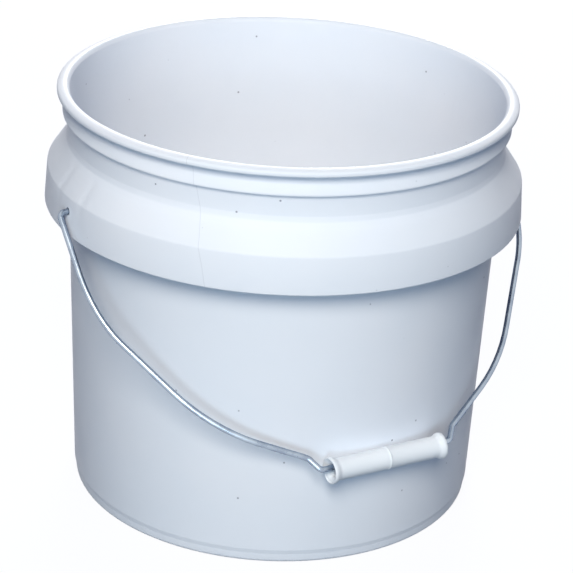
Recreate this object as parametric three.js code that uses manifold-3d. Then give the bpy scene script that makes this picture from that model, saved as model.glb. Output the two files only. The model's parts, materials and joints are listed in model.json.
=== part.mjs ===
// An open paint pail: a moulded bucket with a lid rim, a hollow lifting collar,
// a bent wire bail that swings in two ears of the collar, and a loose roller grip.
// Millimetres, +Z up. The origin is the middle of the base, the ears lie along X,
// and the bail hangs forward, towards -Y, with its grip against the bucket.
import * as THREE from "three";
import { mergeVertices } from "three/addons/utils/BufferGeometryUtils.js";
import Module from "manifold-3d";

const wasm = await Module();
wasm.setup();

// Bucket: the drawn wall runs in one cone from the foot to the rim.
const height = 280;
const wall = 2.2;
const segments = 80;
const coarseArc = Math.PI / 6; // longest step of an arc in the bucket's outline
const fineArc = Math.PI / 22; // and in the wire's path
const body = {
  footRadius: 136.6, // outside of the cone just above the foot step
  topRadius: 144.9, // outside of the same cone at the mouth
};
const foot = {
  height: 9,
  step: 0.9, // how far the foot stands in from the wall
  cornerRadius: 2.8,
  ringWidth: 5.6, // from the outside of the foot to the inside of its ring
  recess: 3.6, // base panel above the ground
  panel: 2.4,
  cove: 9, // inside rounding between panel and wall
  draft: 0.4,
};
const rim = {
  radius: 151,
  depth: 4.6, // height of the bead's outer edge
  crown: 1.7, // how much the top rounds down to the outer edge
  lip: 2.0, // thickness of the bead's turned-down edge
  channel: 1.5, // how far the underside is cored out
  fillet: 0.7,
  crest: 0.4, // share of the bead's width at which it is highest
};
const ring = {
  radius: 147.2,
  drop: 18.2, // lower edge below the rim's top
  edge: 1.2, // height of the sharp edge
  flareDrop: 9.5, // where the flare runs into the wall
  flareBend: 9,
};
const collar = {
  bandRadius: 158.6, // at the lower edge
  bandDraft: 1.6, // the band is this much slimmer at its top
  drop: 78.8, // lower edge below the rim's top
  bandDrop: 54, // where the band rounds into the shoulder
  shoulderDrop: 39.2, // where the shoulder meets the cove
  shoulderRadius: 146.6,
  coveDrop: 32.5, // where the cove runs into the neck
  coveShare: 0.45, // share of the cove's height at which it bends
  cornerRadius: 3.2,
  coveBend: 4,
  edgeRadius: 0.8,
  rootBend: 1.5,
};

// Ears: a bored boss inside the band, between two gussets.
const ear = {
  drop: 63.5, // pivot below the rim's top
  boreRadius: 2.7,
  boreSides: 20,
  boreRun: 2, // how far the cut for the bore runs past both faces
  bossRadius: 6.4,
  bossSides: 28,
  bossDepth: 1.7,
  gusset: 2.4,
  gussetGap: 3, // between the hook's sweep and a gusset
  gussetFoot: 5.5, // gusset above the collar's lower edge
  gussetCorner: 1, // kept clear of the inner corner of the band
};

// Bail: one round wire, described by its corners in its own plane,
// as reach from the middle and drop below the pivot, with bend radii.
const wire = {
  radius: 1.9,
  sides: 10,
  standoff: 3.1, // clear gap between leg and collar
  drop: 201.3, // pivot to the straight that carries the grip
  hookReach: 7.4,
  hookInset: 4.2, // from the boss to the middle of the hook
  hookBend: 3,
  earBend: 4.2,
  legLength: 70,
  legBend: 95,
  elbowReach: 109,
  elbowDrop: 158.6,
  elbowBend: 130,
  crankHeight: 9.4,
  crankRun: 5.8,
  crankTopBend: 6,
  crankBend: 4,
};

// Grip: a flared tube that rolls on the straight of the wire.
const grip = {
  length: 84,
  sides: 36,
  radius: 7.2,
  flareRadius: 8.7,
  flareLength: 6,
  flareEdge: 1.3,
  flareSteps: 5,
  endEdge: 0.35, // chamfer of the end, along the axis
  endFall: 0.4, // and across it
  mouthEdge: 0.5, // chamfer of the bore's mouth
  beadRadius: 7.7,
  beadWidth: 2.4,
  beadFall: 0.1, // how far the bead has rounded down halfway to its edge
  boreRadius: 4.4,
  wireEnd: 6.4, // plain wire between the grip and the crank
};
const clearance = 0.3;
const restGap = 0.4; // between the hanging grip and the wall
const settleRounds = 20; // enough for the leaning angle to stand still

// heights above the ground, measured down from the rim
ring.lowerEdge = height - ring.drop;
ring.flareTop = height - ring.flareDrop;
collar.lowerEdge = height - collar.drop;
collar.shoulderLow = height - collar.bandDrop;
collar.shoulderHigh = height - collar.shoulderDrop;
collar.coveTop = height - collar.coveDrop;
ear.height = height - ear.drop;

const colours = {
  plastic: 0xe9eef4,
  steel: 0xb9bec4,
  gripPlastic: 0xeef2f7,
};

const smooth = (value) => value * value * (3 - 2 * value);
const mix = (from, to, share) => from + (to - from) * share;
const wallRadius = (z) => mix(body.footRadius, body.topRadius, (z - foot.height) / (height - foot.height));

// Corner points of an outline become arcs; each corner is [x, y] or [x, y, radius].
// An arc under the fine radius is a plain chamfer.
const fineRadius = 1.6;
function roundedOutline(corners, stepAngle) {
  const points = [];
  corners.forEach(([x, y, radius], index) => {
    const corner = new THREE.Vector2(x, y);
    if (!radius) {
      points.push(corner);
      return;
    }
    const [beforeX, beforeY] = corners[index - 1];
    const [afterX, afterY] = corners[index + 1];
    const back = new THREE.Vector2(beforeX, beforeY).sub(corner).normalize();
    const ahead = new THREE.Vector2(afterX, afterY).sub(corner).normalize();
    const half = back.angleTo(ahead) / 2;
    const centre = back.clone().add(ahead).normalize().multiplyScalar(radius / Math.sin(half)).add(corner);
    const start = corner.clone().addScaledVector(back, radius / Math.tan(half));
    const turn = (Math.PI - 2 * half) * Math.sign(back.cross(ahead)) * -1;
    const steps = radius < fineRadius ? 1 : Math.ceil(Math.abs(turn) / stepAngle);
    for (let step = 0; step <= steps; step += 1) {
      points.push(start.clone().rotateAround(centre, (turn * step) / steps));
    }
  });
  return points;
}

function cleanGeometry(geometry) {
  const bare = geometry.clone();
  bare.deleteAttribute("normal");
  bare.deleteAttribute("uv");
  const merged = mergeVertices(bare, 1e-4);
  const kept = [];
  const index = merged.index.array;
  for (let at = 0; at < index.length; at += 3) {
    const [a, b, c] = index.slice(at, at + 3);
    if (a !== b && b !== c && c !== a) kept.push(a, b, c);
  }
  merged.setIndex(kept);
  return merged;
}

function toSolid(geometry) {
  const merged = cleanGeometry(geometry);
  const vertProperties = new Float32Array(merged.attributes.position.array);
  const triVerts = new Uint32Array(merged.index.array);
  return new wasm.Manifold(new wasm.Mesh({ numProp: 3, vertProperties, triVerts }));
}

function toGeometry(solid) {
  const mesh = solid.getMesh();
  const geometry = new THREE.BufferGeometry();
  geometry.setAttribute("position", new THREE.BufferAttribute(mesh.vertProperties, 3));
  geometry.setIndex(new THREE.BufferAttribute(mesh.triVerts, 1));
  geometry.computeVertexNormals();
  return geometry;
}

// A profile of [radius, height] turned about Z.
function turned(points, count) {
  return new THREE.LatheGeometry(points, count).rotateX(Math.PI / 2);
}

function namedMesh(name, geometry, color, roughness, metalness) {
  const mesh = new THREE.Mesh(geometry, new THREE.MeshStandardMaterial({ color, roughness, metalness }));
  mesh.name = name;
  return mesh;
}

// The outside of the collar, from its root on the wall down to the lower edge.
const bandTopRadius = collar.bandRadius - collar.bandDraft;
const bandInner = (z) => {
  const share = (z - collar.lowerEdge) / (collar.shoulderLow - collar.lowerEdge);
  return mix(collar.bandRadius, bandTopRadius, share) - wall;
};
const shoulderRun = bandTopRadius - collar.shoulderRadius;
const shoulderFall = collar.shoulderHigh - collar.shoulderLow;
const shoulderSlope = shoulderFall / shoulderRun;
const undersideDrop = wall * Math.hypot(1, shoulderSlope);
const underside = (radius) =>
  collar.shoulderLow + (bandTopRadius - radius) * shoulderSlope - undersideDrop;

function collarOutline() {
  const rootHeight = underside(wallRadius(collar.shoulderHigh));
  const innerCorner = underside(bandTopRadius - wall);
  const coveMiddle = mix(collar.shoulderHigh, collar.coveTop, collar.coveShare);
  return [
    [wallRadius(rootHeight), rootHeight, collar.rootBend],
    [bandInner(innerCorner), innerCorner, collar.rootBend],
    [collar.bandRadius - wall, collar.lowerEdge, collar.edgeRadius],
    [collar.bandRadius, collar.lowerEdge, collar.edgeRadius],
    [bandTopRadius, collar.shoulderLow, collar.cornerRadius],
    [collar.shoulderRadius, collar.shoulderHigh],
    [wallRadius(coveMiddle) + collar.edgeRadius, coveMiddle, collar.coveBend],
    [wallRadius(collar.coveTop), collar.coveTop],
  ];
}

function ringOutline() {
  return [
    [wallRadius(ring.lowerEdge), ring.lowerEdge],
    [ring.radius, ring.lowerEdge],
    [ring.radius, ring.lowerEdge + ring.edge],
    [wallRadius(ring.flareTop), ring.flareTop, ring.flareBend],
  ];
}

function rimOutline() {
  const underBead = height - rim.depth;
  const channelRoof = underBead + rim.channel;
  const rootRadius = wallRadius(underBead);
  const insideRadius = wallRadius(height - rim.crown) - wall;
  return [
    [rootRadius, underBead + rim.fillet, rim.fillet],
    [rootRadius + rim.lip, underBead + rim.fillet],
    [rootRadius + rim.lip + rim.channel / 2, channelRoof],
    [rim.radius - rim.lip - rim.channel / 4, channelRoof],
    [rim.radius - rim.lip, underBead],
    [rim.radius, underBead, rim.fillet],
    [rim.radius, height - rim.crown, rim.crown],
    [rim.radius - rim.crown, height - rim.crown / 4],
    [mix(rootRadius, rim.radius, rim.crest), height],
    [insideRadius + rim.fillet, height - rim.crown / 4],
    [insideRadius, height - rim.crown],
  ];
}

function baseOutline() {
  const footRadius = body.footRadius - foot.step;
  const ringInner = footRadius - foot.ringWidth;
  const panelTop = foot.recess + foot.panel;
  const insideRadius = wallRadius(panelTop + foot.cove) - wall;
  return {
    inside: [
      [insideRadius, panelTop, foot.cove],
      [0, panelTop],
    ],
    outside: [
      [0, foot.recess],
      [ringInner - foot.draft, foot.recess],
      [ringInner, 0],
      [footRadius - foot.draft, 0, foot.cornerRadius],
      [footRadius, foot.height - foot.step],
      [body.footRadius, foot.height],
    ],
  };
}

function bucketShell() {
  const base = baseOutline();
  const corners = [
    ...base.outside,
    ...collarOutline(),
    ...ringOutline(),
    ...rimOutline(),
    ...base.inside,
  ];
  return turned(roundedOutline(corners, coarseArc), segments);
}

const earX = bandInner(ear.height) + wall; // outside of the band at the pivot
const bossFace = earX - wall - ear.bossDepth;
const hookX = bossFace - wire.hookInset;
const hookSweep = wire.hookReach + wire.radius;

// A cylinder along X between two distances, at the height of the pivot.
function crossPin(fromX, toX, radius, sides) {
  const pin = new THREE.CylinderGeometry(radius, radius, toX - fromX, sides);
  pin.rotateZ(Math.PI / 2);
  return pin.translate((fromX + toX) / 2, 0, ear.height);
}

// One gusset: a plate across the hollow collar, bedded into the wall and the band.
function gussetPlate() {
  const bed = wall / 2;
  const footHeight = collar.lowerEdge + ear.gussetFoot;
  const innerRadius = wallRadius(footHeight) - bed;
  const outerRadius = bandInner(footHeight) + bed;
  const cornerRadius = outerRadius - ear.gussetCorner;
  const outline = new THREE.Shape([
    new THREE.Vector2(innerRadius, footHeight - ear.gussetFoot / 2),
    new THREE.Vector2(outerRadius, footHeight),
    new THREE.Vector2(cornerRadius, underside(cornerRadius) + bed),
    new THREE.Vector2(innerRadius, underside(innerRadius) + bed),
  ]);
  const plate = new THREE.ExtrudeGeometry(outline, { depth: ear.gusset, bevelEnabled: false });
  plate.translate(0, 0, -ear.gusset / 2);
  return plate.rotateX(Math.PI / 2);
}

function buildBucket() {
  let bucket = toSolid(bucketShell());
  const gussetTurn = (hookSweep + ear.gussetGap + ear.gusset / 2) / hookX;
  for (const side of [0, Math.PI]) {
    const boss = crossPin(bossFace, earX - wall / 2, ear.bossRadius, ear.bossSides);
    bucket = bucket.add(toSolid(boss.rotateZ(side)));
    for (const turn of [-gussetTurn, gussetTurn]) {
      bucket = bucket.add(toSolid(gussetPlate().rotateZ(side + turn)));
    }
  }
  for (const side of [0, Math.PI]) {
    const bore = crossPin(bossFace - ear.boreRun, earX + ear.boreRun, ear.boreRadius, ear.boreSides);
    bucket = bucket.subtract(toSolid(bore.rotateZ(side)));
  }
  return toGeometry(bucket);
}

// A path whose own points are the steps of the sweep.
class BentPath extends THREE.Curve {
  constructor(points) {
    super();
    this.points = points;
  }

  getUtoTmapping(u) {
    return u;
  }

  getPoint(t) {
    const place = Math.min(Math.max(t, 0), 1) * (this.points.length - 1);
    const index = Math.min(Math.floor(place), this.points.length - 2);
    return this.points[index].clone().lerp(this.points[index + 1], place - index);
  }
}

const legX = collar.bandRadius + wire.standoff + wire.radius;
const straightEnd = grip.length / 2 + grip.wireEnd;

// Corners of the wire's right half, from the hook in the ear to the middle.
function wireCorners() {
  const crankTop = straightEnd + wire.crankRun;
  return [
    [hookX, wire.hookReach],
    [hookX, 0, wire.hookBend],
    [legX, 0, wire.earBend],
    [legX, -wire.legLength, wire.legBend],
    [wire.elbowReach, -wire.elbowDrop, wire.elbowBend],
    [crankTop, wire.crankHeight - wire.drop, wire.crankTopBend],
    [straightEnd, -wire.drop, wire.crankBend],
  ];
}

function buildWire() {
  const right = wireCorners();
  const left = right.map(([x, z, radius]) => [-x, z, radius]).reverse();
  const outline = roundedOutline([...right, ...left], fineArc);
  const path = new BentPath(outline.map((point) => new THREE.Vector3(point.x, 0, point.y)));
  const section = new THREE.Shape();
  for (let side = 0; side < wire.sides; side += 1) {
    const angle = (2 * Math.PI * side) / wire.sides;
    const spot = [wire.radius * Math.cos(angle), wire.radius * Math.sin(angle)];
    if (side === 0) section.moveTo(...spot);
    else section.lineTo(...spot);
  }
  section.closePath();
  const options = { steps: outline.length - 1, extrudePath: path, bevelEnabled: false };
  return cleanGeometry(new THREE.ExtrudeGeometry(section, options));
}

// Half of the grip's outline along its own axis, flared at the end and beaded in the middle.
function gripRadiusAt(x) {
  const fromEnd = grip.length / 2 - Math.abs(x);
  const share = Math.min(1, Math.max(0, fromEnd - grip.flareEdge) / (grip.flareLength - grip.flareEdge));
  return mix(grip.flareRadius, grip.radius, smooth(share));
}

function buildGrip() {
  const half = grip.length / 2;
  const bead = grip.beadWidth / 2;
  const right = [
    [0, grip.beadRadius],
    [bead / 2, grip.beadRadius - grip.beadFall],
    [bead, grip.radius],
  ];
  for (let step = 0; step <= grip.flareSteps; step += 1) {
    const x = half - mix(grip.flareLength, grip.flareEdge, step / grip.flareSteps);
    right.push([x, gripRadiusAt(x)]);
  }
  right.push([half - grip.endEdge, grip.flareRadius], [half, grip.flareRadius - grip.endFall]);
  right.push([half, grip.boreRadius + grip.mouthEdge], [half - grip.mouthEdge, grip.boreRadius]);
  const left = right.slice(1).map(([x, radius]) => [-x, radius]).reverse();
  const ordered = [...left, ...right].map(([x, radius]) => new THREE.Vector2(radius, x));
  ordered.push(ordered[0].clone());
  return cleanGeometry(new THREE.LatheGeometry(ordered, grip.sides).rotateZ(-Math.PI / 2));
}

// The bail leans forward until the grip's bead meets the wall.
const sag = grip.boreRadius - wire.radius - clearance;
let restAngle = Math.PI / 4;
for (let round = 0; round < settleRounds; round += 1) {
  const gripHeight = ear.height - wire.drop * Math.cos(restAngle) - sag;
  const reach = wallRadius(gripHeight) + grip.beadRadius + restGap;
  restAngle = Math.asin(reach / wire.drop);
}

const group = new THREE.Group();
group.add(namedMesh("pail", buildBucket(), colours.plastic, 0.32, 0));

const bail = new THREE.Group();
bail.position.set(0, 0, ear.height);
bail.rotation.x = -restAngle;
bail.add(namedMesh("bail_wire", buildWire(), colours.steel, 0.3, 1));

const roller = namedMesh("grip", buildGrip(), colours.gripPlastic, 0.35, 0);
roller.position.set(0, sag * Math.sin(restAngle), -wire.drop - sag * Math.cos(restAngle));
bail.add(roller);
group.add(bail);

export default group;
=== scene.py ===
import json
import math

import bmesh
import bpy
from mathutils import Matrix, Vector, noise


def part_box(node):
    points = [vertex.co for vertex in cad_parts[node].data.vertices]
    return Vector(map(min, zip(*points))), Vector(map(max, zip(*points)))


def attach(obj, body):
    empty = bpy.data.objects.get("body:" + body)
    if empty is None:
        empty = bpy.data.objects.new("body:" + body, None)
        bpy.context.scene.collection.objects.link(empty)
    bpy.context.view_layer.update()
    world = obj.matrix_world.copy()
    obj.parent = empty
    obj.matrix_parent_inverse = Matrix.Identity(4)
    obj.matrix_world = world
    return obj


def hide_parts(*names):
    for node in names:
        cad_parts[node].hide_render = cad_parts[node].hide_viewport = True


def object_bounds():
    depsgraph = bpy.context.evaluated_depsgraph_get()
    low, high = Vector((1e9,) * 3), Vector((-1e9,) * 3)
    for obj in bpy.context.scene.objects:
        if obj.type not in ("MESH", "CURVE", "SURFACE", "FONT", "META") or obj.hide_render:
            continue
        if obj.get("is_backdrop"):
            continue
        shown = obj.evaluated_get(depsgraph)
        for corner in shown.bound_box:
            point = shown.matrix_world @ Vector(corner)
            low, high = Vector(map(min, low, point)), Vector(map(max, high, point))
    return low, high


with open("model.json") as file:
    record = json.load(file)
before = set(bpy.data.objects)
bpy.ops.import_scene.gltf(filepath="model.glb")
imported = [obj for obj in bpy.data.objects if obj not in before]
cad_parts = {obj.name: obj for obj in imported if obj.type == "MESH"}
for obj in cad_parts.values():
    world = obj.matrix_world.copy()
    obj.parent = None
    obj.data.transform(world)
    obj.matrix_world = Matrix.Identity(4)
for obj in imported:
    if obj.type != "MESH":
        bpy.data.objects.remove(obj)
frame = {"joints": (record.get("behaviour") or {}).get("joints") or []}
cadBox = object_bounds()
print("frame loaded")

scene = bpy.context.scene
mm = 0.001
tiny = 1e-7  # under this, two spots are one
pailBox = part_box("pail")
pailHeight = pailBox[1][2]
collarRadius = pailBox[1][1]
bailJoint = next(joint for joint in frame["joints"] if joint["name"] == "bail_swing")
rollJoint = next(joint for joint in frame["joints"] if joint["name"] == "grip_roll")
pivot = Vector(bailJoint["pos_m"])
rollCentre = Vector(rollJoint["pos_m"])

# camera at the photo's angle

view = {
    "azimuth": -30.3,  # degrees from the bail's side, towards the left ear
    "elevation": 24.51,
    "distance": 1.6,
    "roll": -2.97,
    "aimSide": 0.0052,
    "aimHeight": 0.1361,
    "eyeHeight": 0.13,  # height that the eye's elevation is measured from
    "focal": 2354,  # in pixels of the photo
    "photoWidth": 573,
}


def aroundPail(azimuth, radius, height):
    angle = math.radians(azimuth)
    return Vector((math.sin(angle) * radius, -math.cos(angle) * radius, height))


def makeCamera():
    data = bpy.data.cameras.new("camera")
    data.sensor_width = 36
    data.lens = view["focal"] / view["photoWidth"] * data.sensor_width
    data.clip_end = 20
    elevation = math.radians(view["elevation"])
    eye = aroundPail(view["azimuth"], math.cos(elevation) * view["distance"], 0)
    eye.z = view["eyeHeight"] + math.sin(elevation) * view["distance"]
    aim = aroundPail(view["azimuth"] + 90, view["aimSide"], view["aimHeight"])
    forward = (aim - eye).normalized()
    right = forward.cross(Vector((0, 0, 1))).normalized()
    up = right.cross(forward)
    roll = math.radians(view["roll"])
    side = right * math.cos(roll) - up * math.sin(roll)
    top = right * math.sin(roll) + up * math.cos(roll)
    camera = bpy.data.objects.new("camera", data)
    camera.matrix_world = Matrix((side, top, -forward)).transposed().to_4x4()
    camera.location = eye
    scene.collection.objects.link(camera)
    scene.camera = camera


makeCamera()
print("camera placed")

# helpers for outlines and meshes


def mix(low, high, share):
    return low + (high - low) * share


def smoothStep(value):
    value = min(1, max(0, value))
    return value * value * (3 - 2 * value)


# corners are (x, y), or (x, y, bend radius)
def roundedOutline(corners, arcStep):
    points = []
    for index, corner in enumerate(corners):
        spot = Vector(corner[:2])
        if len(corner) < 3:
            points.append(spot)
            continue
        back = (Vector(corners[index - 1][:2]) - spot).normalized()
        ahead = (Vector(corners[index + 1][:2]) - spot).normalized()
        half = back.angle(ahead) / 2
        radius = corner[2]
        centre = spot + (back + ahead).normalized() * radius / math.sin(half)
        start = spot + back * radius / math.tan(half) - centre
        end = spot + ahead * radius / math.tan(half) - centre
        turn = math.pi - 2 * half
        steps = max(2, math.ceil(turn / arcStep))
        for step in range(steps + 1):
            along = math.sin(turn * (1 - step / steps)) / math.sin(turn)
            beyond = math.sin(turn * step / steps) / math.sin(turn)
            points.append(centre + start * along + end * beyond)
    return points


def meshObject(name, bm, smoothAngle=40):
    mesh = bpy.data.meshes.new(name)
    bm.to_mesh(mesh)
    bm.free()
    mesh.polygons.foreach_set("use_smooth", [True] * len(mesh.polygons))
    mesh.set_sharp_from_angle(angle=math.radians(smoothAngle))
    piece = bpy.data.objects.new(name, mesh)
    scene.collection.objects.link(piece)
    return piece


# turns (radius, height) points about an axis, with place() for each spot of a ring
def lathe(points, count, place):
    bm = bmesh.new()
    rings = []
    for radius, height in points:
        if radius < tiny:
            rings.append([bm.verts.new(place(0, 0, height))])
            continue
        ring = [bm.verts.new(place(2 * math.pi * k / count, radius, height)) for k in range(count)]
        rings.append(ring)
    for low, high in zip(rings, rings[1:]):
        for k in range(count):
            after = k + 1
            below = [low[k % len(low)], low[after % len(low)]]
            above = [high[after % len(high)], high[k % len(high)]]
            corners = list(dict.fromkeys(below + above))
            if len(corners) > 2:
                bm.faces.new(corners)
    bmesh.ops.recalc_face_normals(bm, faces=bm.faces)
    return bm


# pail

pail = {
    "segments": 384,
    "wall": 2.2 * mm,
    "footRadius": 136.6 * mm,
    "topRadius": 144.9 * mm,
    "footHeight": 9 * mm,
    "footStep": 0.9 * mm,
    "footCorner": 2.8 * mm,
    "footRing": 5.6 * mm,
    "recess": 3.6 * mm,
    "panel": 2.4 * mm,
    "cove": 9 * mm,
    "rimRadius": 151 * mm,
    "rimDepth": 4.6 * mm,
    "rimCrown": 1.7 * mm,
    "rimLip": 2.0 * mm,
    "rimChannel": 1.5 * mm,
    "rimLift": 0.6 * mm,  # the bead's inner lip above its outer edge
    "rimSlope": 0.7 * mm,
    "rimCrest": 3.2 * mm,  # the highest line, in from the edge
    "mouthBevel": 1.8 * mm,
    "mouthDepth": 2.6 * mm,
    "ringRadius": 147.2 * mm,
    "ringEdge": 261.8 * mm,
    "ringThickness": 1.2 * mm,
    "flareTop": 270.5 * mm,
    "bandDraft": 1.6 * mm,
    "bandEdge": 201.2 * mm,
    "shoulderLow": 226 * mm,
    "shoulderHigh": 240.8 * mm,
    "shoulderRadius": 146.6 * mm,
    "coveTop": 247.5 * mm,
    "coveShare": 0.45,
    "coveStep": 0.8 * mm,
    "bandCorner": 3.2 * mm,
    "wallSteps": (70 * mm, 140 * mm),  # heights at which the long straights are divided
    "bandStep": 213 * mm,
    "insideSteps": (200 * mm, 100 * mm),
    "footBevel": 0.4 * mm,
    "footRise": 2.6,  # in steps of the foot
    "arcStep": 0.3,
    "smoothAngle": 38,
}
ears = {
    "bore": 2.7 * mm,
    "boss": 6.4 * mm,
    "bossDepth": 1.7 * mm,
    "gusset": 2.4 * mm,
    "gussetAngle": 5.7,  # degrees from the ear
    "gussetFoot": 5.5 * mm,
    "gussetCorner": 1 * mm,
    "boreRun": 2 * mm,  # the cut runs past both faces
    "bossSides": 48,
    "boreSides": 40,
}
mould = {
    "waver": 0.22 * mm,  # unevenness of the wall
    "wavesAround": 9,
    "wavesUp": 5,
    "foot": 15 * mm,
    "footFade": 40 * mm,
    "top": 12 * mm,  # the rim stays true
    "topFade": 30 * mm,
    "inside": 100 * mm,  # nothing nearer to the axis moves
    "sinkDepth": 0.65 * mm,  # marks over the gussets
    "sinkWidth": 2.6 * mm,
    "sinkLow": 219 * mm,
    "sinkLowFade": 9 * mm,
    "sinkHigh": 247 * mm,
    "sinkHighFade": 6 * mm,
    "sinkReach": 11.5 * mm,
}


def wallRadius(z):
    share = (z - pail["footHeight"]) / (pailHeight - pail["footHeight"])
    return mix(pail["footRadius"], pail["topRadius"], share)


bandTop = collarRadius - pail["bandDraft"]


def bandRadius(z):
    return mix(collarRadius, bandTop, (z - pail["bandEdge"]) / (pail["shoulderLow"] - pail["bandEdge"]))


shoulderSlope = (pail["shoulderHigh"] - pail["shoulderLow"]) / (bandTop - pail["shoulderRadius"])


def underside(radius):
    drop = pail["wall"] * math.hypot(1, shoulderSlope)
    return pail["shoulderLow"] + (bandTop - radius) * shoulderSlope - drop


# the section from the base's centre round the outside and back in, with bend radii
def pailOutline():
    p = pail
    foot = p["footRadius"] - p["footStep"]
    ringInner = foot - p["footRing"]
    panelTop = p["recess"] + p["panel"]
    rootZ = underside(wallRadius(p["shoulderHigh"]))
    innerZ = underside(bandTop - p["wall"])
    coveZ = mix(p["shoulderHigh"], p["coveTop"], p["coveShare"])
    beadZ = pailHeight - p["rimDepth"]
    root = wallRadius(beadZ)
    roof = beadZ + p["rimChannel"]
    inside = wallRadius(pailHeight) - p["wall"]
    lip = beadZ + p["rimLift"]
    corners = [
        (0, p["recess"]),
        (ringInner - p["footBevel"], p["recess"], 1 * mm),
        (ringInner, 0, 0.7 * mm),
        (foot - p["footBevel"], 0, p["footCorner"]),
        (foot, p["footHeight"] - p["footRise"] * p["footStep"], 2 * mm),
        (p["footRadius"], p["footHeight"] + p["footStep"], 2 * mm),
        *[(wallRadius(z), z) for z in p["wallSteps"]],
        (wallRadius(rootZ), rootZ, 1.5 * mm),
        (bandRadius(innerZ) - p["wall"], innerZ, 1.5 * mm),
        (collarRadius - p["wall"], p["bandEdge"], 0.9 * mm),
        (collarRadius, p["bandEdge"], 0.9 * mm),
        (bandRadius(p["bandStep"]), p["bandStep"]),
        (bandTop, p["shoulderLow"], p["bandCorner"]),
        (mix(bandTop, p["shoulderRadius"], 0.5), mix(p["shoulderLow"], p["shoulderHigh"], 0.5)),
        (p["shoulderRadius"], p["shoulderHigh"], 2.5 * mm),
        (wallRadius(coveZ) + p["coveStep"], coveZ, 3.6 * mm),
        (wallRadius(p["coveTop"]), p["coveTop"], 3 * mm),
        (wallRadius(p["ringEdge"]), p["ringEdge"], 0.4 * mm),
        (p["ringRadius"], p["ringEdge"], 0.35 * mm),
        (p["ringRadius"], p["ringEdge"] + p["ringThickness"], 0.5 * mm),
        (wallRadius(p["flareTop"]), p["flareTop"], 9 * mm),
        (root, lip, 0.5 * mm),
        (root + p["rimLip"], lip, 0.3 * mm),
        (root + p["rimLip"] + p["rimSlope"], roof, 0.3 * mm),
        (p["rimRadius"] - p["rimLip"] - 0.3 * mm, roof, 0.3 * mm),
        (p["rimRadius"] - p["rimLip"], beadZ, 0.4 * mm),
        (p["rimRadius"], beadZ, 0.9 * mm),
        (p["rimRadius"], pailHeight - p["rimCrown"], 1.8 * mm),
        (p["rimRadius"] - p["rimCrest"], pailHeight, 5 * mm),
        (inside + p["mouthBevel"], pailHeight, 2.4 * mm),
        (inside, pailHeight - p["mouthDepth"], 2 * mm),
        *[(wallRadius(z) - p["wall"], z) for z in p["insideSteps"]],
        (wallRadius(panelTop + p["cove"]) - p["wall"], panelTop, p["cove"]),
        (0, panelTop),
    ]
    return roundedOutline(corners, p["arcStep"])


# place of one point of the turned wall, with the mould's small unevenness
def pailSpot(angle, radius, z):
    m = mould
    spot = Vector((math.sin(angle) * radius, -math.cos(angle) * radius, z))
    if radius < m["inside"]:
        return spot
    wave = noise.noise(Vector((spot.x * m["wavesAround"], spot.y * m["wavesAround"], z * m["wavesUp"])))
    upright = smoothStep((z - m["foot"]) / m["footFade"])
    upright *= smoothStep((pailHeight - m["top"] - z) / m["topFade"])
    onShoulder = smoothStep((z - m["sinkLow"]) / m["sinkLowFade"])
    onShoulder *= smoothStep((m["sinkHigh"] - z) / m["sinkHighFade"])
    outer = smoothStep((radius - bandRadius(z) + m["sinkReach"]) / m["sinkLowFade"])
    shift = m["waver"] * wave * upright
    for side in (90, -90):
        for turn in (-ears["gussetAngle"], ears["gussetAngle"]):
            away = math.radians(math.remainder(math.degrees(angle) - side - turn, 360)) * radius
            shift -= m["sinkDepth"] * math.exp(-((away / m["sinkWidth"]) ** 2)) * onShoulder * outer
    inward = min(shift, 0)
    spot.x += math.sin(angle) * inward
    spot.y -= math.cos(angle) * inward
    return spot


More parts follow.
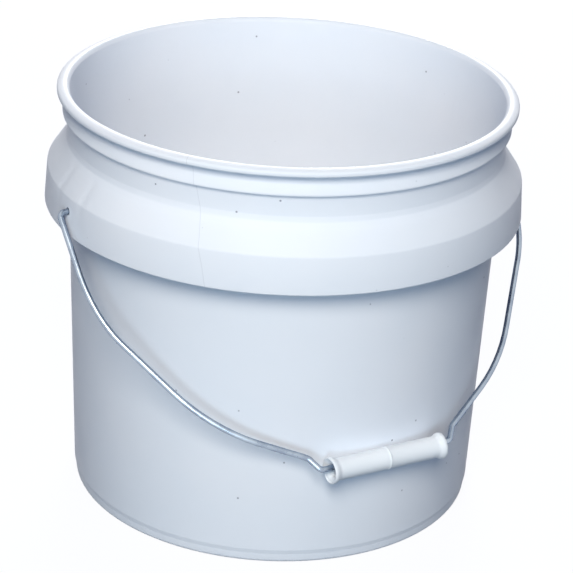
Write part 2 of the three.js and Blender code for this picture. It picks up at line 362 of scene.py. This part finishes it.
# two plates at each ear, copied about the pail's axis
def gussetTree():
    tree = bpy.data.node_groups.new("earGussets", "GeometryNodeTree")
    sockets = tree.interface
    sockets.new_socket("Plate", in_out="INPUT", socket_type="NodeSocketObject")
    sockets.new_socket("Half angle", in_out="INPUT", socket_type="NodeSocketFloat")
    sockets.new_socket("Plastic", in_out="INPUT", socket_type="NodeSocketMaterial")
    sockets.new_socket("Geometry", in_out="OUTPUT", socket_type="NodeSocketGeometry")
    nodes, links = tree.nodes, tree.links
    given = nodes.new("NodeGroupInput")
    plate = nodes.new("GeometryNodeObjectInfo")
    line = nodes.new("GeometryNodeMeshLine")
    line.inputs["Count"].default_value = 4
    line.inputs["Offset"].default_value = (0, 0, 0)
    index = nodes.new("GeometryNodeInputIndex")
    parity = nodes.new("ShaderNodeMath")
    parity.operation = "MODULO"
    parity.inputs[1].default_value = 2
    ear = nodes.new("ShaderNodeMath")
    ear.operation = "FLOOR"
    halfIndex = nodes.new("ShaderNodeMath")
    halfIndex.operation = "MULTIPLY"
    halfIndex.inputs[1].default_value = 0.5
    swing = nodes.new("ShaderNodeMath")
    swing.operation = "MULTIPLY_ADD"
    centred = nodes.new("ShaderNodeMath")
    centred.operation = "MULTIPLY_ADD"
    centred.inputs[1].default_value = 2
    centred.inputs[2].default_value = -1
    earTurn = nodes.new("ShaderNodeMath")
    earTurn.operation = "MULTIPLY"
    earTurn.inputs[1].default_value = math.pi
    turn = nodes.new("ShaderNodeCombineXYZ")
    copies = nodes.new("GeometryNodeInstanceOnPoints")
    real = nodes.new("GeometryNodeRealizeInstances")
    paint = nodes.new("GeometryNodeSetMaterial")
    out = nodes.new("NodeGroupOutput")
    links.new(given.outputs["Plate"], plate.inputs["Object"])
    links.new(index.outputs[0], parity.inputs[0])
    links.new(index.outputs[0], halfIndex.inputs[0])
    links.new(halfIndex.outputs[0], ear.inputs[0])
    links.new(ear.outputs[0], earTurn.inputs[0])
    links.new(parity.outputs[0], centred.inputs[0])
    links.new(centred.outputs[0], swing.inputs[0])
    links.new(given.outputs["Half angle"], swing.inputs[1])
    links.new(earTurn.outputs[0], swing.inputs[2])
    links.new(swing.outputs[0], turn.inputs["Z"])
    links.new(line.outputs["Mesh"], copies.inputs["Points"])
    links.new(plate.outputs["Geometry"], copies.inputs["Instance"])
    links.new(turn.outputs["Vector"], copies.inputs["Rotation"])
    links.new(copies.outputs["Instances"], real.inputs["Geometry"])
    links.new(real.outputs["Geometry"], paint.inputs["Geometry"])
    links.new(given.outputs["Plastic"], paint.inputs["Material"])
    links.new(paint.outputs["Geometry"], out.inputs["Geometry"])
    return tree


# runs a geometry tree on an empty mesh and keeps the result as a plain object
def runTree(name, tree, values):
    carrier = bpy.data.objects.new(name + "Carrier", bpy.data.meshes.new(name + "Carrier"))
    scene.collection.objects.link(carrier)
    modifier = carrier.modifiers.new(tree.name, "NODES")
    modifier.node_group = tree
    for item in tree.interface.items_tree:
        if item.item_type == "SOCKET" and item.in_out == "INPUT":
            modifier[item.identifier] = values[item.name]
    depsgraph = bpy.context.evaluated_depsgraph_get()
    mesh = bpy.data.meshes.new_from_object(carrier.evaluated_get(depsgraph))
    carrier.modifiers.remove(modifier)
    bpy.data.objects.remove(carrier)
    mesh.name = name
    piece = bpy.data.objects.new(name, mesh)
    scene.collection.objects.link(piece)
    return piece


def gussetPlate():
    low = pail["bandEdge"] + ears["gussetFoot"]
    bed = pail["wall"] / 2
    inner = wallRadius(low) - bed
    outer = bandRadius(low) - pail["wall"] + bed
    corner = outer - ears["gussetCorner"]
    corners = [
        (inner, low - ears["gussetFoot"] / 2),
        (outer, low),
        (corner, underside(corner) + bed),
        (inner, underside(inner) + bed),
    ]
    bm = bmesh.new()
    faces = []
    for side in (-0.5, 0.5):
        faces.append([bm.verts.new((x, side * ears["gusset"], z)) for x, z in corners])
    bm.faces.new(faces[0])
    bm.faces.new(reversed(faces[1]))
    for k in range(len(corners)):
        after = (k + 1) % len(corners)
        bm.faces.new((faces[0][after], faces[0][k], faces[1][k], faces[1][after]))
    bmesh.ops.recalc_face_normals(bm, faces=bm.faces)
    return meshObject("gussetPlate", bm)


# a pin along X at both ears
def earPins(name, fromX, toX, radius, sides):
    bm = bmesh.new()
    for side in (-1, 1):
        middle = Vector((side * (fromX + toX) / 2, 0, pivot.z))
        place = Matrix.Translation(middle) @ Matrix.Rotation(math.pi / 2, 4, "Y")
        sizes = {"radius1": radius, "radius2": radius, "depth": toX - fromX}
        bmesh.ops.create_cone(bm, cap_ends=True, segments=sides, matrix=place, **sizes)
    bmesh.ops.recalc_face_normals(bm, faces=bm.faces)
    return meshObject(name, bm)


def combine(base, tool, operation):
    modifier = base.modifiers.new(operation, "BOOLEAN")
    modifier.object = tool
    modifier.operation = operation
    modifier.solver = "EXACT"
    depsgraph = bpy.context.evaluated_depsgraph_get()
    mesh = bpy.data.meshes.new_from_object(base.evaluated_get(depsgraph))
    base.modifiers.remove(modifier)
    base.data = mesh
    bpy.data.objects.remove(tool)


def makePail(material):
    bm = lathe(pailOutline(), pail["segments"], pailSpot)
    piece = meshObject("paint_pail", bm)
    plate = gussetPlate()
    values = {"Plate": plate, "Half angle": math.radians(ears["gussetAngle"]), "Plastic": material}
    gussets = runTree("gussets", gussetTree(), values)
    bpy.data.objects.remove(plate)
    combine(piece, gussets, "UNION")
    earX = bandRadius(pivot.z)
    bossFace = earX - pail["wall"] - ears["bossDepth"]
    bosses = earPins("bosses", bossFace, earX - pail["wall"] / 2, ears["boss"], ears["bossSides"])
    combine(piece, bosses, "UNION")
    run = ears["boreRun"]
    bores = earPins("bores", bossFace - run, earX + run, ears["bore"], ears["boreSides"])
    combine(piece, bores, "DIFFERENCE")
    piece.data.materials.clear()
    piece.data.materials.append(material)
    piece.data.polygons.foreach_set("material_index", [0] * len(piece.data.polygons))
    piece.data.polygons.foreach_set("use_smooth", [True] * len(piece.data.polygons))
    piece.data.set_sharp_from_angle(angle=math.radians(pail["smoothAngle"]))
    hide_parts("pail")
    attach(piece, "pail")
    print("pail made,", len(piece.data.polygons), "faces")


# bail

bail = {
    "wireRadius": 1.9 * mm,
    "sides": 20,
    "standoff": 3.05 * mm,
    "drop": 201.3 * mm,
    "hookReach": 7.4 * mm,
    "hookInset": 4.2 * mm,
    "hookBend": 3 * mm,
    "earBend": 4.2 * mm,
    "legLength": 70 * mm,
    "legBend": 95 * mm,
    "elbowReach": 109 * mm,
    "elbowDrop": 158.6 * mm,
    "elbowBend": 130 * mm,
    "crankHeight": 9.4 * mm,
    "crankRun": 5.8 * mm,
    "crankTopBend": 6 * mm,
    "crankBend": 4 * mm,
    "straight": 48.4 * mm,
    "arcStep": 0.06,
    "smoothAngle": 50,
    "bow": 3 * mm,  # the wire is bent a little towards the left ear
    "bowTop": 50 * mm,
    "bowTopFade": 60 * mm,
    "bowFoot": 195 * mm,
    "bowFootFade": 25 * mm,
}


def bailPath():
    b = bail
    hookX = bandRadius(pivot.z) - pail["wall"] - ears["bossDepth"] - b["hookInset"]
    legX = collarRadius + b["standoff"] + b["wireRadius"]
    right = [
        (hookX, b["hookReach"]),
        (hookX, 0, b["hookBend"]),
        (legX, 0, b["earBend"]),
        (legX, -b["legLength"], b["legBend"]),
        (b["elbowReach"], -b["elbowDrop"], b["elbowBend"]),
        (b["straight"] + b["crankRun"], b["crankHeight"] - b["drop"], b["crankTopBend"]),
        (b["straight"], -b["drop"], b["crankBend"]),
    ]
    left = [(-corner[0], *corner[1:]) for corner in reversed(right)]
    lean = math.asin(-(rollCentre.y) / b["drop"])
    tilt = Matrix.Rotation(-lean, 3, "X")
    points = []
    for x, z in roundedOutline(right + left, b["arcStep"]):
        bow = smoothStep((-z - b["bowTop"]) / b["bowTopFade"])
        bow *= smoothStep((b["bowFoot"] + z) / b["bowFootFade"])
        points.append(pivot + tilt @ Vector((x - b["bow"] * bow, 0, z)))
    return points


# sweeps a round section along the given line
def sweepTree():
    tree = bpy.data.node_groups.new("bailSweep", "GeometryNodeTree")
    tree.interface.new_socket("Path", in_out="INPUT", socket_type="NodeSocketObject")
    tree.interface.new_socket("Wire radius", in_out="INPUT", socket_type="NodeSocketFloat")
    tree.interface.new_socket("Sides", in_out="INPUT", socket_type="NodeSocketInt")
    tree.interface.new_socket("Steel", in_out="INPUT", socket_type="NodeSocketMaterial")
    tree.interface.new_socket("Geometry", in_out="OUTPUT", socket_type="NodeSocketGeometry")
    nodes, links = tree.nodes, tree.links
    given = nodes.new("NodeGroupInput")
    path = nodes.new("GeometryNodeObjectInfo")
    spine = nodes.new("GeometryNodeMeshToCurve")
    section = nodes.new("GeometryNodeCurvePrimitiveCircle")
    sweep = nodes.new("GeometryNodeCurveToMesh")
    sweep.inputs["Fill Caps"].default_value = True
    soften = nodes.new("GeometryNodeSetShadeSmooth")
    real = nodes.new("GeometryNodeRealizeInstances")
    paint = nodes.new("GeometryNodeSetMaterial")
    out = nodes.new("NodeGroupOutput")
    links.new(given.outputs["Path"], path.inputs["Object"])
    links.new(path.outputs["Geometry"], spine.inputs["Mesh"])
    links.new(given.outputs["Wire radius"], section.inputs["Radius"])
    links.new(given.outputs["Sides"], section.inputs["Resolution"])
    links.new(spine.outputs["Curve"], sweep.inputs["Curve"])
    links.new(section.outputs["Curve"], sweep.inputs["Profile Curve"])
    links.new(sweep.outputs["Mesh"], soften.inputs["Geometry"])
    links.new(soften.outputs["Geometry"], real.inputs["Geometry"])
    links.new(real.outputs["Geometry"], paint.inputs["Geometry"])
    links.new(given.outputs["Steel"], paint.inputs["Material"])
    links.new(paint.outputs["Geometry"], out.inputs["Geometry"])
    return tree


def makeBail(material):
    points = bailPath()
    spine = bpy.data.meshes.new("bailSpine")
    spine.from_pydata(points, [(k, k + 1) for k in range(len(points) - 1)], [])
    carrier = bpy.data.objects.new("bailSpine", spine)
    scene.collection.objects.link(carrier)
    values = {
        "Path": carrier,
        "Wire radius": bail["wireRadius"],
        "Sides": bail["sides"],
        "Steel": material,
    }
    piece = runTree("bail", sweepTree(), values)
    bpy.data.objects.remove(carrier)
    bm = bmesh.new()
    bm.from_mesh(piece.data)
    bmesh.ops.remove_doubles(bm, verts=bm.verts, dist=tiny)
    bmesh.ops.recalc_face_normals(bm, faces=bm.faces)
    bm.to_mesh(piece.data)
    bm.free()
    piece.data.set_sharp_from_angle(angle=math.radians(bail["smoothAngle"]))
    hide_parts("bail_wire")
    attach(piece, "bail")
    print("bail made,", len(piece.data.polygons), "faces")


# grip

grip = {
    "length": 84 * mm,
    "radius": 7.2 * mm,
    "flareRadius": 8.7 * mm,
    "flareLength": 6 * mm,
    "flareEdge": 1.3 * mm,
    "beadRadius": 7.7 * mm,
    "beadWidth": 2.4 * mm,
    "bore": 4.4 * mm,
    "endBend": 0.65 * mm,
    "mouthDepth": 1.4 * mm,
    "mouthFlare": 1.2 * mm,
    "segments": 96,
    "bendSteps": 6,
    "flareSteps": 12,
}


def gripOutline():
    g = grip
    half = g["length"] / 2
    bends = range(1, g["bendSteps"] + 1)
    bend = g["endBend"]
    right = [(0, g["beadRadius"])]
    for step in bends:
        share = step / g["bendSteps"]
        x = share * g["beadWidth"] / 2
        right.append((x, mix(g["beadRadius"], g["radius"], smoothStep(share))))
    for step in range(g["flareSteps"] + 1):
        share = step / g["flareSteps"]
        x = half - mix(g["flareLength"], g["flareEdge"], share)
        right.append((x, mix(g["radius"], g["flareRadius"], smoothStep(share))))
    for step in bends:
        angle = math.pi * step / g["bendSteps"]
        x = half - bend + bend * math.sin(angle)
        right.append((x, g["flareRadius"] - bend * (1 - math.cos(angle))))
    right.append((half - g["mouthDepth"], g["bore"] + g["mouthFlare"]))
    right.append((half - g["mouthDepth"] - g["mouthFlare"], g["bore"]))
    left = [(-x, radius) for x, radius in reversed(right[1:])]
    return [(radius, x) for x, radius in left + right]


def gripSpot(angle, radius, along):
    return rollCentre + Vector((along, math.sin(angle) * radius, math.cos(angle) * radius))


def makeGrip(material):
    points = gripOutline()
    bm = lathe(points + points[:1], grip["segments"], gripSpot)
    bmesh.ops.remove_doubles(bm, verts=bm.verts, dist=tiny)
    bmesh.ops.recalc_face_normals(bm, faces=bm.faces)
    piece = meshObject("roller_grip", bm)
    piece.data.materials.append(material)
    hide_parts("grip")
    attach(piece, "grip")
    print("grip made,", len(piece.data.polygons), "faces")


# materials


def shaderGroup(name, inputs, outputs):
    group = bpy.data.node_groups.new(name, "ShaderNodeTree")
    for label, kind, value in inputs:
        socket = group.interface.new_socket(label, in_out="INPUT", socket_type=kind)
        socket.default_value = value
    for label, kind in outputs:
        group.interface.new_socket(label, in_out="OUTPUT", socket_type=kind)
    return group, group.nodes.new("NodeGroupInput"), group.nodes.new("NodeGroupOutput")


def mathNode(nodes, operation, *values):
    node = nodes.new("ShaderNodeMath")
    node.operation = operation
    for socket, value in zip(node.inputs, values):
        if value is not None:
            socket.default_value = value
    return node


# sparse dark grit caught in the plastic, one speck in some of the cells
def speckGroup():
    inputs = [
        ("Vector", "NodeSocketVector", (0, 0, 0)),
        ("Cell", "NodeSocketFloat", 60),
        ("Size", "NodeSocketFloat", 0.04),
        ("Share", "NodeSocketFloat", 0.5),
    ]
    group, given, out = shaderGroup("grit", inputs, [("Mask", "NodeSocketFloat")])
    nodes, links = group.nodes, group.links
    cells = nodes.new("ShaderNodeTexVoronoi")
    tone = nodes.new("ShaderNodeSeparateColor")
    chosen = mathNode(nodes, "LESS_THAN")
    size = mathNode(nodes, "MULTIPLY")
    inside = nodes.new("ShaderNodeMapRange")
    inside.inputs["To Min"].default_value = 1
    inside.inputs["To Max"].default_value = 0
    result = mathNode(nodes, "MULTIPLY")
    near = mathNode(nodes, "MULTIPLY", None, 0.4)
    links.new(given.outputs["Vector"], cells.inputs["Vector"])
    links.new(given.outputs["Cell"], cells.inputs["Scale"])
    links.new(cells.outputs["Color"], tone.inputs["Color"])
    links.new(tone.outputs["Red"], chosen.inputs[0])
    links.new(given.outputs["Share"], chosen.inputs[1])
    links.new(given.outputs["Size"], size.inputs[0])
    links.new(tone.outputs["Green"], size.inputs[1])
    links.new(size.outputs[0], near.inputs[0])
    links.new(cells.outputs["Distance"], inside.inputs["Value"])
    links.new(near.outputs[0], inside.inputs["From Min"])
    links.new(size.outputs[0], inside.inputs["From Max"])
    links.new(inside.outputs["Result"], result.inputs[0])
    links.new(chosen.outputs[0], result.inputs[1])
    links.new(result.outputs[0], out.inputs["Mask"])
    return group


# cloudy tone, wear and a fine moulded skin for plastic
def unevenGroup():
    inputs = [("Vector", "NodeSocketVector", (0, 0, 0)), ("Skin height", "NodeSocketFloat", 0.1)]
    outputs = [("Tone", "NodeSocketFloat"), ("Wear", "NodeSocketFloat"), ("Normal", "NodeSocketVector")]
    group, given, out = shaderGroup("mouldedSkin", inputs, outputs)
    nodes, links = group.nodes, group.links
    cloud = nodes.new("ShaderNodeTexNoise")
    cloud.inputs["Scale"].default_value = 11
    cloud.inputs["Detail"].default_value = 3
    wear = nodes.new("ShaderNodeTexNoise")
    wear.inputs["Scale"].default_value = 70
    wear.inputs["Detail"].default_value = 5
    skin = nodes.new("ShaderNodeTexNoise")
    skin.inputs["Scale"].default_value = 420
    skin.inputs["Detail"].default_value = 2
    slow = nodes.new("ShaderNodeTexNoise")
    slow.inputs["Scale"].default_value = 26
    both = mathNode(nodes, "MULTIPLY_ADD", None, 6.0)
    bump = nodes.new("ShaderNodeBump")
    bump.inputs["Distance"].default_value = 0.0002
    for texture in (cloud, wear, skin, slow):
        links.new(given.outputs["Vector"], texture.inputs["Vector"])
    links.new(cloud.outputs["Fac"], out.inputs["Tone"])
    links.new(wear.outputs["Fac"], out.inputs["Wear"])
    links.new(slow.outputs["Fac"], both.inputs[0])
    links.new(skin.outputs["Fac"], both.inputs[2])
    links.new(both.outputs[0], bump.inputs["Height"])
    links.new(given.outputs["Skin height"], bump.inputs["Strength"])
    links.new(bump.outputs["Normal"], out.inputs["Normal"])
    return group


# a thin upright line where two flows of plastic met, above a given height
def flowLineGroup():
    inputs = [
        ("Vector", "NodeSocketVector", (0, 0, 0)),
        ("Turn", "NodeSocketFloat", 0),
        ("Lean", "NodeSocketFloat", 0),
        ("Half width", "NodeSocketFloat", 0.003),
        ("Lowest", "NodeSocketFloat", 0.2),
    ]
    group, given, out = shaderGroup("flowLine", inputs, [("Mask", "NodeSocketFloat")])
    nodes, links = group.nodes, group.links
    parts = nodes.new("ShaderNodeSeparateXYZ")
    front = mathNode(nodes, "MULTIPLY", None, -1)
    angle = mathNode(nodes, "ARCTAN2")
    slant = mathNode(nodes, "MULTIPLY_ADD")
    waver = nodes.new("ShaderNodeTexNoise")
    waver.inputs["Scale"].default_value = 40
    wander = mathNode(nodes, "MULTIPLY_ADD", None, 0.012)
    away = mathNode(nodes, "SUBTRACT")
    size = mathNode(nodes, "ABSOLUTE")
    thin = nodes.new("ShaderNodeMapRange")
    thin.inputs["From Min"].default_value = 0
    thin.inputs["To Min"].default_value = 1
    thin.inputs["To Max"].default_value = 0
    high = mathNode(nodes, "GREATER_THAN")
    result = mathNode(nodes, "MULTIPLY")
    links.new(given.outputs["Vector"], parts.inputs["Vector"])
    links.new(given.outputs["Vector"], waver.inputs["Vector"])
    links.new(parts.outputs["Y"], front.inputs[0])
    links.new(parts.outputs["X"], angle.inputs[0])
    links.new(front.outputs[0], angle.inputs[1])
    links.new(parts.outputs["Z"], slant.inputs[0])
    links.new(given.outputs["Lean"], slant.inputs[1])
    links.new(given.outputs["Turn"], slant.inputs[2])
    links.new(waver.outputs["Fac"], wander.inputs[0])
    links.new(slant.outputs[0], wander.inputs[2])
    links.new(angle.outputs[0], away.inputs[0])
    links.new(wander.outputs[0], away.inputs[1])
    links.new(away.outputs[0], size.inputs[0])
    links.new(size.outputs[0], thin.inputs["Value"])
    links.new(given.outputs["Half width"], thin.inputs["From Max"])
    links.new(parts.outputs["Z"], high.inputs[0])
    links.new(given.outputs["Lowest"], high.inputs[1])
    links.new(thin.outputs["Result"], result.inputs[0])
    links.new(high.outputs[0], result.inputs[1])
    links.new(result.outputs[0], out.inputs["Mask"])
    return group


skinGroup = unevenGroup()
flowGroup = flowLineGroup()
gritGroup = speckGroup()


def colourRamp(nodes, stops):
    ramp = nodes.new("ShaderNodeValToRGB")
    for index, (place, colour) in enumerate(stops):
        stop = ramp.color_ramp.elements[index] if index < 2 else ramp.color_ramp.elements.new(place)
        stop.position = place
        stop.color = (*colour, 1)
    return ramp


def rangeNode(nodes, low, high):
    node = nodes.new("ShaderNodeMapRange")
    node.inputs["From Min"].default_value = 0.3
    node.inputs["From Max"].default_value = 0.7
    node.inputs["To Min"].default_value = low
    node.inputs["To Max"].default_value = high
    return node


def plasticMaterial(name, look):
    material = bpy.data.materials.new(name)
    material.use_nodes = True
    nodes, links = material.node_tree.nodes, material.node_tree.links
    shader = nodes["Principled BSDF"]
    shader.inputs["IOR"].default_value = look["ior"]
    shader.inputs["Specular IOR Level"].default_value = look["gloss"]
    shader.inputs["Subsurface Weight"].default_value = look["glow"]
    shader.inputs["Subsurface Radius"].default_value = look["glowReach"]
    shader.inputs["Subsurface Scale"].default_value = look["glowScale"]
    where = nodes.new("ShaderNodeTexCoord")
    skin = nodes.new("ShaderNodeGroup")
    skin.node_tree = skinGroup
    skin.inputs["Skin height"].default_value = look["skin"]
    grit = nodes.new("ShaderNodeGroup")
    grit.node_tree = gritGroup
    grit.inputs["Cell"].default_value = look["gritCell"]
    grit.inputs["Size"].default_value = look["gritSize"]
    grit.inputs["Share"].default_value = look["gritShare"]
    tone = colourRamp(nodes, [(0.3, look["shade"]), (0.7, look["colour"])])
    dirty = nodes.new("ShaderNodeMix")
    dirty.data_type = "RGBA"
    dirty.inputs["B"].default_value = (*look["gritColour"], 1)
    flow = nodes.new("ShaderNodeGroup")
    flow.node_tree = flowGroup
    flow.inputs["Turn"].default_value = look["flowTurn"]
    flow.inputs["Lean"].default_value = look["flowLean"]
    flow.inputs["Lowest"].default_value = look["flowLowest"]
    faint = mathNode(nodes, "MULTIPLY", None, look["flowStrength"])
    line = nodes.new("ShaderNodeMix")
    line.data_type = "RGBA"
    line.inputs["B"].default_value = (*look["gritColour"], 1)
    rough = rangeNode(nodes, *look["roughness"])
    links.new(where.outputs["Object"], flow.inputs["Vector"])
    links.new(flow.outputs["Mask"], faint.inputs[0])
    links.new(faint.outputs[0], line.inputs["Factor"])
    links.new(tone.outputs["Color"], line.inputs["A"])
    links.new(where.outputs["Object"], skin.inputs["Vector"])
    links.new(where.outputs["Object"], grit.inputs["Vector"])
    links.new(skin.outputs["Tone"], tone.inputs["Fac"])
    links.new(line.outputs["Result"], dirty.inputs["A"])
    links.new(grit.outputs["Mask"], dirty.inputs["Factor"])
    links.new(dirty.outputs["Result"], shader.inputs["Base Color"])
    links.new(skin.outputs["Wear"], rough.inputs["Value"])
    links.new(rough.outputs["Result"], shader.inputs["Roughness"])
    links.new(skin.outputs["Normal"], shader.inputs["Normal"])
    return material


def wireMaterial():
    look = wireLook
    material = bpy.data.materials.new("galvanisedWire")
    material.use_nodes = True
    nodes, links = material.node_tree.nodes, material.node_tree.links
    shader = nodes["Principled BSDF"]
    shader.inputs["Metallic"].default_value = 1
    # the dark edge tint is painted shade: it darkens the wire's reflections towards its grazing edges
    shader.inputs["Specular Tint"].default_value = (*look["edge"], 1)
    where = nodes.new("ShaderNodeTexCoord")
    spangle = nodes.new("ShaderNodeTexNoise")
    spangle.inputs["Scale"].default_value = 90
    spangle.inputs["Detail"].default_value = 4
    grain = nodes.new("ShaderNodeTexNoise")
    grain.inputs["Scale"].default_value = 900
    tone = colourRamp(nodes, [(0.35, look["dull"]), (0.65, look["bright"])])
    rough = rangeNode(nodes, *look["roughness"])
    bump = nodes.new("ShaderNodeBump")
    bump.inputs["Distance"].default_value = 0.0001
    bump.inputs["Strength"].default_value = 0.08
    for texture in (spangle, grain):
        links.new(where.outputs["Object"], texture.inputs["Vector"])
    links.new(spangle.outputs["Fac"], tone.inputs["Fac"])
    links.new(tone.outputs["Color"], shader.inputs["Base Color"])
    links.new(spangle.outputs["Fac"], rough.inputs["Value"])
    links.new(rough.outputs["Result"], shader.inputs["Roughness"])
    links.new(grain.outputs["Fac"], bump.inputs["Height"])
    links.new(bump.outputs["Normal"], shader.inputs["Normal"])
    return material


pailLook = {
    "colour": (0.85, 0.876, 0.928),
    "shade": (0.81, 0.852, 0.914),
    "ior": 1.5,
    "gloss": 0.08,
    "glow": 0.15,
    "glowReach": (1.0, 1.0, 1.0),
    "glowScale": 0.003,
    "skin": 0.12,
    "gritCell": 66,
    "gritSize": 0.07,
    "gritShare": 1.0,
    "gritColour": (0.30, 0.31, 0.36),
    "roughness": (0.34, 0.46),
    "flowTurn": -0.52,  # radians from the bail's side
    "flowLean": -1.5,
    "flowLowest": 0.195,
    "flowStrength": 0.18,
}
gripLook = dict(pailLook)
gripLook["colour"] = (0.88, 0.91, 0.94)
gripLook["shade"] = (0.84, 0.88, 0.92)
gripLook["roughness"] = (0.3, 0.4)
gripLook["gritShare"] = 0.25
wireLook = {
    "bright": (0.46, 0.53, 0.61),
    "dull": (0.33, 0.39, 0.48),
    "edge": (0.08, 0.11, 0.20),
    # painted shade: a dark tint that darkens the reflections at the wire's grazing edges
    "roughness": (0.24, 0.34),
}

makePail(plasticMaterial("pailPlastic", pailLook))
makeBail(wireMaterial())
makeGrip(plasticMaterial("gripPlastic", gripLook))

# floor, light and background

studio = {
    "floorSize": 8,
    "floorGlow": 0.94,
    "floorColour": (0.055, 0.065, 0.095),
    "ambient": 0.13,
    "ambientColour": (0.22, 0.42, 1.0),
    "aimHeight": 0.14,
    "lampDistance": 3.4,
}
lamps = {
    "key": {"power": 92, "size": 1.5, "azimuth": -34, "elevation": 40, "colour": (1, 0.955, 0.865)},
    "fill": {"power": 37, "size": 1.4, "azimuth": -32, "elevation": 7, "colour": (0.66, 0.85, 1)},
    "back": {"power": 100, "size": 1.6, "azimuth": 148, "elevation": 30, "colour": (1, 0.99, 0.96)},
}


# 1 where the camera, a gloss or a clear material looks
def seenNode(nodes, links):
    path = nodes.new("ShaderNodeLightPath")
    first = mathNode(nodes, "MAXIMUM")
    second = mathNode(nodes, "MAXIMUM")
    links.new(path.outputs["Is Camera Ray"], first.inputs[0])
    links.new(path.outputs["Is Glossy Ray"], first.inputs[1])
    links.new(first.outputs[0], second.inputs[0])
    links.new(path.outputs["Is Transmission Ray"], second.inputs[1])
    return second


def makeWorld():
    world = bpy.data.worlds.new("studio")
    scene.world = world
    world.use_nodes = True
    nodes, links = world.node_tree.nodes, world.node_tree.links
    light = nodes["Background"]
    light.inputs["Color"].default_value = (*studio["ambientColour"], 1)
    light.inputs["Strength"].default_value = studio["ambient"]
    white = nodes.new("ShaderNodeBackground")
    white.inputs["Color"].default_value = (1, 1, 1, 1)
    choice = nodes.new("ShaderNodeMixShader")
    links.new(seenNode(nodes, links).outputs[0], choice.inputs[0])
    links.new(light.outputs[0], choice.inputs[1])
    links.new(white.outputs[0], choice.inputs[2])
    links.new(choice.outputs[0], nodes["World Output"].inputs["Surface"])


def makeFloor():
    bm = bmesh.new()
    bmesh.ops.create_grid(bm, x_segments=1, y_segments=1, size=studio["floorSize"])
    floor = meshObject("floor", bm)
    material = bpy.data.materials.new("floor")
    material.use_nodes = True
    nodes, links = material.node_tree.nodes, material.node_tree.links
    shader = nodes["Principled BSDF"]
    shader.inputs["Base Color"].default_value = (*studio["floorColour"], 1)
    shader.inputs["Roughness"].default_value = 1
    shader.inputs["Specular IOR Level"].default_value = 0
    glow = mathNode(nodes, "MULTIPLY", None, studio["floorGlow"])
    links.new(seenNode(nodes, links).outputs[0], glow.inputs[0])
    shader.inputs["Emission Color"].default_value = (1, 1, 1, 1)
    links.new(glow.outputs[0], shader.inputs["Emission Strength"])
    floor.data.materials.append(material)
    floor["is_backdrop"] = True


def makeLamp(name, lamp):
    data = bpy.data.lights.new(name, "AREA")
    data.shape = "DISK"
    data.size = lamp["size"]
    data.energy = lamp["power"]
    data.color = lamp["colour"]
    piece = bpy.data.objects.new(name, data)
    elevation = math.radians(lamp["elevation"])
    aim = Vector((0, 0, studio["aimHeight"]))
    reach = aroundPail(lamp["azimuth"], math.cos(elevation), math.sin(elevation))
    piece.location = aim + reach * studio["lampDistance"]
    piece.rotation_euler = reach.to_track_quat("Z", "Y").to_euler()
    scene.collection.objects.link(piece)


makeWorld()
makeFloor()
for lampName, lampValues in lamps.items():
    makeLamp(lampName, lampValues)
scene.view_settings.view_transform = "Standard"
print("studio set")

boxes = {"cad": cadBox, "visual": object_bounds()}
boxes = {name: [list(corner) for corner in box] for name, box in boxes.items()}
